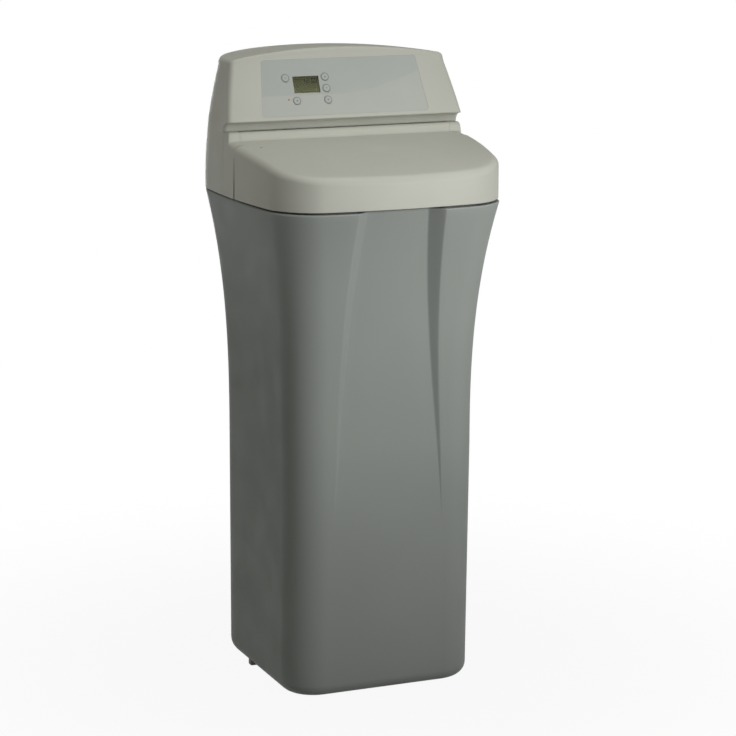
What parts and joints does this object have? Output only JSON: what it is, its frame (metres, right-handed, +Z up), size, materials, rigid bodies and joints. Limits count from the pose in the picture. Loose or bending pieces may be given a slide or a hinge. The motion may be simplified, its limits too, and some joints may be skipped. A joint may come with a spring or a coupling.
{
  "type": "water softener",
  "caption": "Cabinet water softener: flared salt tank with sloped hinged salt lid, leaning control panel with display and buttons, inner resin vessel, rotary valve, brine well and bypass.",
  "frame": {"origin": "centre of the base footprint, on the floor", "axes": "+Z up, -Y to the front with the control panel, +X to the right seen from the front"},
  "size_m": [0.4398, 0.578, 1.098],
  "materials": {
    "tank_plastic": "satin moulded polyethylene",
    "cover_plastic": "fine-grained moulding",
    "dark_plastic": "glass-filled moulding",
    "pale_plastic": "natural moulding",
    "overlay": "printed overlay, bare",
    "lens": "clear lens",
    "lcd": "reflective display",
    "button": "satin",
    "board": "solder mask",
    "steel": "zinc plated",
    "vessel": "wound fibre shell",
    "resin": "beads",
    "rubber": "moulded",
    "red_plastic": "moulded",
    "blue_plastic": "moulded"
  },
  "bodies": {
    "cabinet": {"salt_tank": "tank_plastic", "rim_deck": "dark_plastic", "top_cover": "cover_plastic", "hinge_bracket_left": "cover_plastic", "hinge_bracket_right": "cover_plastic", "faceplate": "overlay", "display_window": "lens", "lcd_module": "lcd", "tact_switches": "dark_plastic", "control_board": "board", "board_housing": "dark_plastic", "board_screws": "steel", "resin_tank": "vessel", "tank_boot": "rubber", "resin_bed": "resin", "riser_tube": "pale_plastic", "bottom_distributor": "pale_plastic", "top_distributor": "pale_plastic", "clamp_half_front": "dark_plastic", "clamp_half_back": "dark_plastic", "clamp_screws": "steel", "neck_seal": "rubber", "valve_body": "dark_plastic", "valve_cover": "dark_plastic", "valve_screws": "steel", "valve_motor": "steel", "motor_bracket": "dark_plastic", "position_switch": "dark_plastic", "venturi_housing": "dark_plastic", "venturi_nozzle": "red_plastic", "venturi_cap": "dark_plastic", "turbine_support": "pale_plastic", "port_clips": "steel", "port_seals": "rubber", "bypass_body": "dark_plastic", "drain_elbow": "dark_plastic", "drain_clip": "steel", "brinewell": "pale_plastic", "brine_tube": "pale_plastic", "brine_valve": "dark_plastic", "float_stops": "dark_plastic", "overflow_grommet": "rubber", "overflow_elbow": "dark_plastic"},
    "lid": {"salt_lid": "cover_plastic", "lid_hinge_bar": "cover_plastic"},
    "press_left": {"button_left": "button"},
    "press_up": {"button_up": "button"},
    "press_select": {"button_select": "button"},
    "press_down": {"button_down": "button"},
    "press_recharge": {"button_recharge": "button"},
    "rotor": {"rotor_disc": "pale_plastic", "cam_gear": "pale_plastic"},
    "pinion": {"drive_pinion": "pale_plastic"},
    "flow_wheel": {"turbine": "pale_plastic"},
    "spool": {"bypass_spool": "blue_plastic"},
    "float": {"float_ring": "pale_plastic"},
    "well_cap": {"brinewell_cap": "dark_plastic"}
  },
  "joints": [
    {"name": "lid_hinge", "type": "hinge", "parent": "cabinet", "child": "lid", "pos_m": [0, -0.019, 0.9565], "axis": [-1, 0, 0], "range_deg": [0, 90]},
    {"name": "press_left_slide", "type": "slide", "parent": "cabinet", "child": "press_left", "axis": [0, 0.9252, -0.3795], "range_m": [0, 0.0006], "stiffness_N_per_m": 900},
    {"name": "press_up_slide", "type": "slide", "parent": "cabinet", "child": "press_up", "axis": [0, 0.9252, -0.3795], "range_m": [0, 0.0006], "stiffness_N_per_m": 900},
    {"name": "press_select_slide", "type": "slide", "parent": "cabinet", "child": "press_select", "axis": [0, 0.9252, -0.3795], "range_m": [0, 0.0006], "stiffness_N_per_m": 900},
    {"name": "press_down_slide", "type": "slide", "parent": "cabinet", "child": "press_down", "axis": [0, 0.9252, -0.3795], "range_m": [0, 0.0006], "stiffness_N_per_m": 900},
    {"name": "press_recharge_slide", "type": "slide", "parent": "cabinet", "child": "press_recharge", "axis": [0, 0.9252, -0.3795], "range_m": [0, 0.0006], "stiffness_N_per_m": 900},
    {"name": "rotor_spin", "type": "hinge", "parent": "cabinet", "child": "rotor", "pos_m": [0, 0.074, 0.987], "axis": [0, 0, 1], "continuous": true},
    {"name": "pinion_spin", "type": "hinge", "parent": "cabinet", "child": "pinion", "pos_m": [0.04073, 0.03327, 0.987], "axis": [0, 0, 1], "continuous": true},
    {"name": "flow_spin", "type": "hinge", "parent": "cabinet", "child": "flow_wheel", "pos_m": [0.027, 0.168, 0.932], "axis": [0, 1, 0], "continuous": true},
    {"name": "spool_slide", "type": "slide", "parent": "cabinet", "child": "spool", "axis": [1, 0, 0], "range_m": [0, 0.025]},
    {"name": "float_slide", "type": "slide", "parent": "cabinet", "child": "float", "axis": [0, 0, 1], "range_m": [0, 0.06]},
    {"name": "well_cap_lift", "type": "slide", "parent": "cabinet", "child": "well_cap", "axis": [0, 0, 1], "range_m": [0, 0.03]}
  ],
  "couplings": [
    {"joint": "pinion_spin", "follows": "rotor_spin", "ratio": -5}
  ]
}
